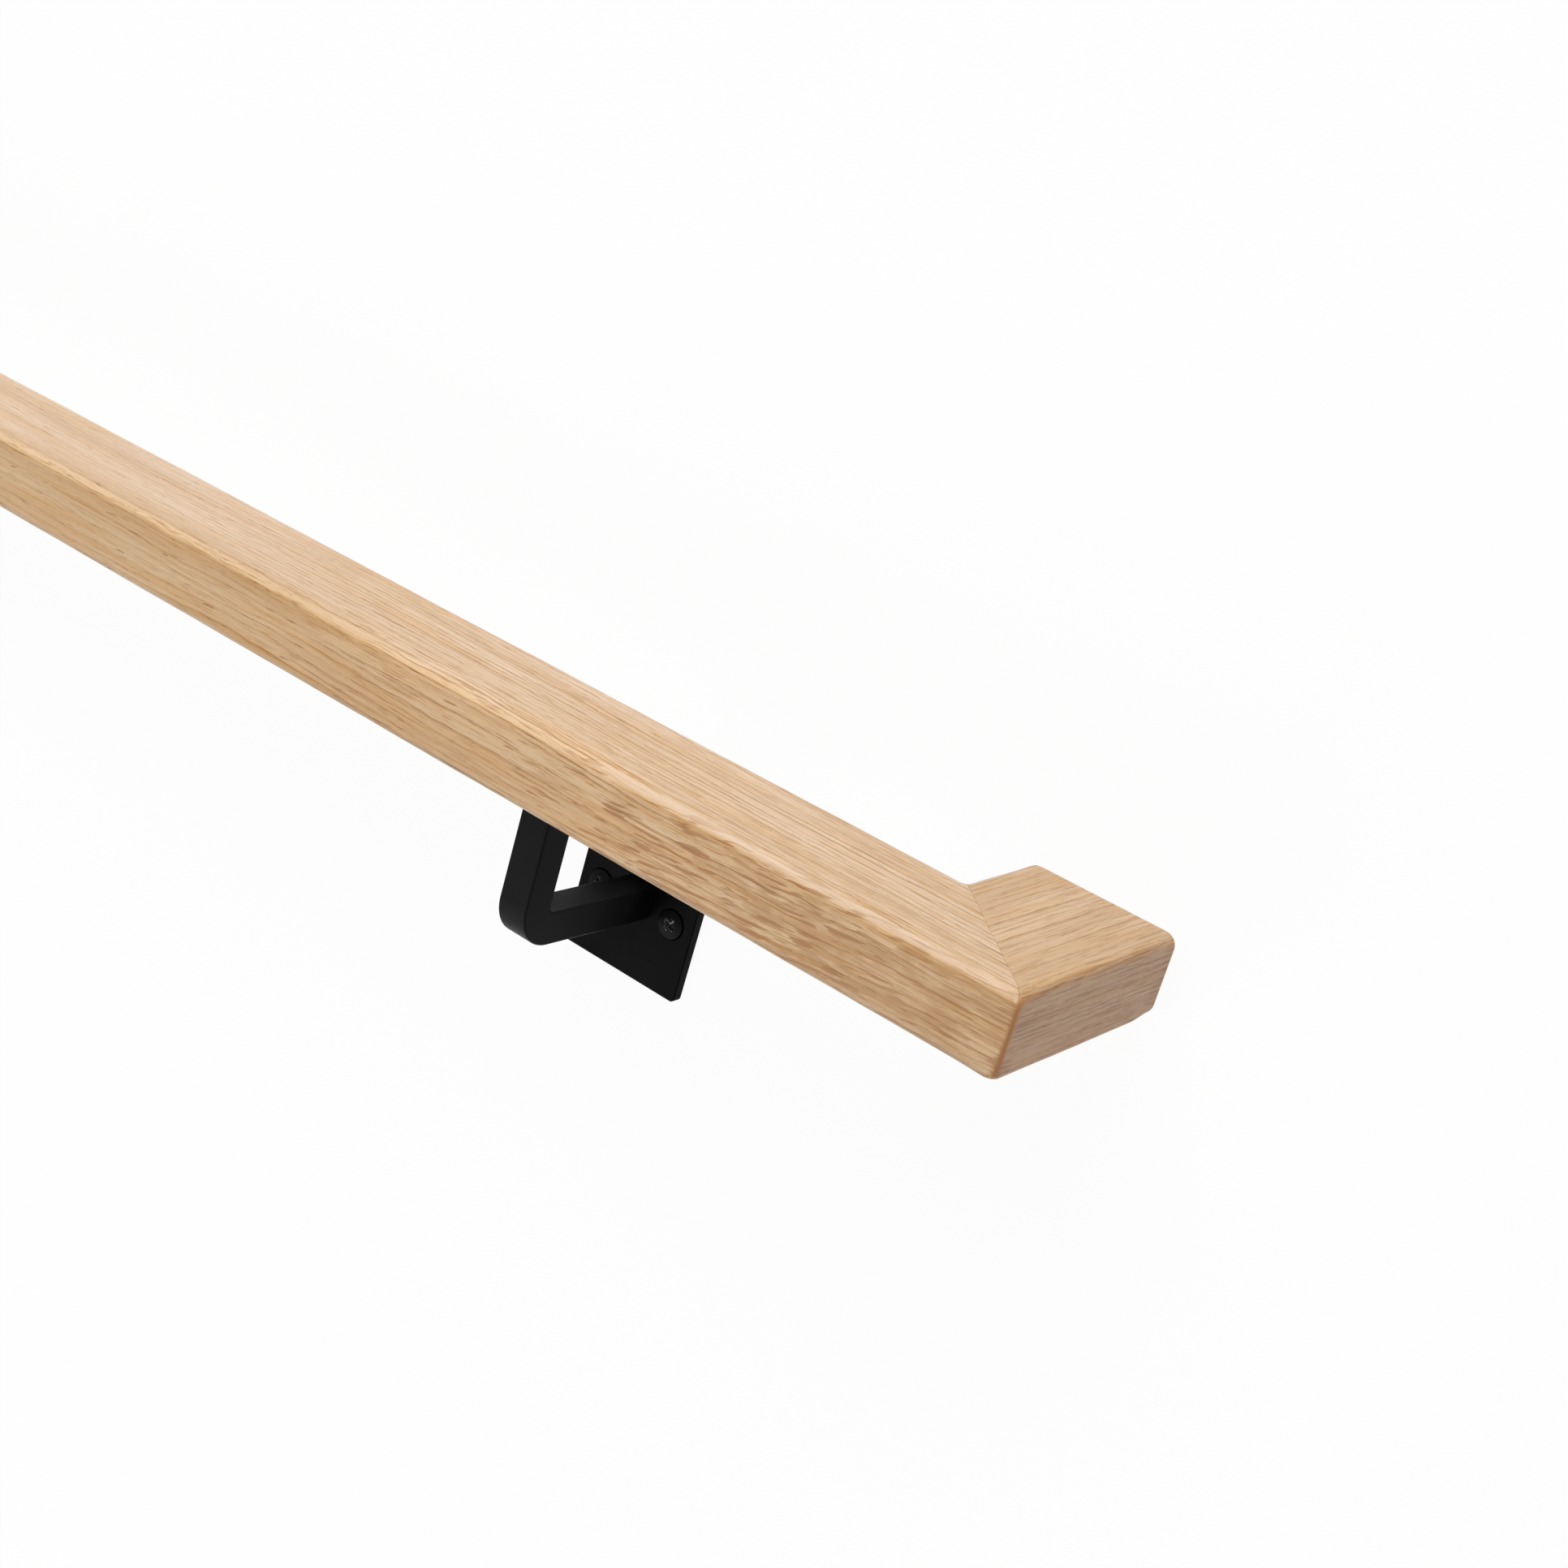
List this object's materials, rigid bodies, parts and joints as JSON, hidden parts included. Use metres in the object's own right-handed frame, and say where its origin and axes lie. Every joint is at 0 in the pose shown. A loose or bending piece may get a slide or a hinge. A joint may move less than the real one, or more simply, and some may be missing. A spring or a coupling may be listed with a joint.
{
  "type": "wooden handrail",
  "caption": "Oak wall handrail of rounded rectangular section with mitred returns at its ends, on black square-bar brackets.",
  "frame": {"origin": "on the wall plane, in the middle of the rail's length and of the fixed handrail's height", "axes": "+X along the rail, +Y up once it is fixed to a wall, +Z out from the wall"},
  "size_m": [0.914, 0.1106, 0.0965],
  "materials": {
    "oak": "clear satin finish over straight-grained oak",
    "black_steel": "satin black powder coat"
  },
  "bodies": {
    "root": {"rail": "oak", "return_right": "oak", "return_left": "oak", "arm_right": "black_steel", "arm_left": "black_steel", "wall_plate_right": "black_steel", "wall_plate_left": "black_steel", "saddle_plate_right": "black_steel", "saddle_plate_left": "black_steel"}
  },
  "joints": []
}
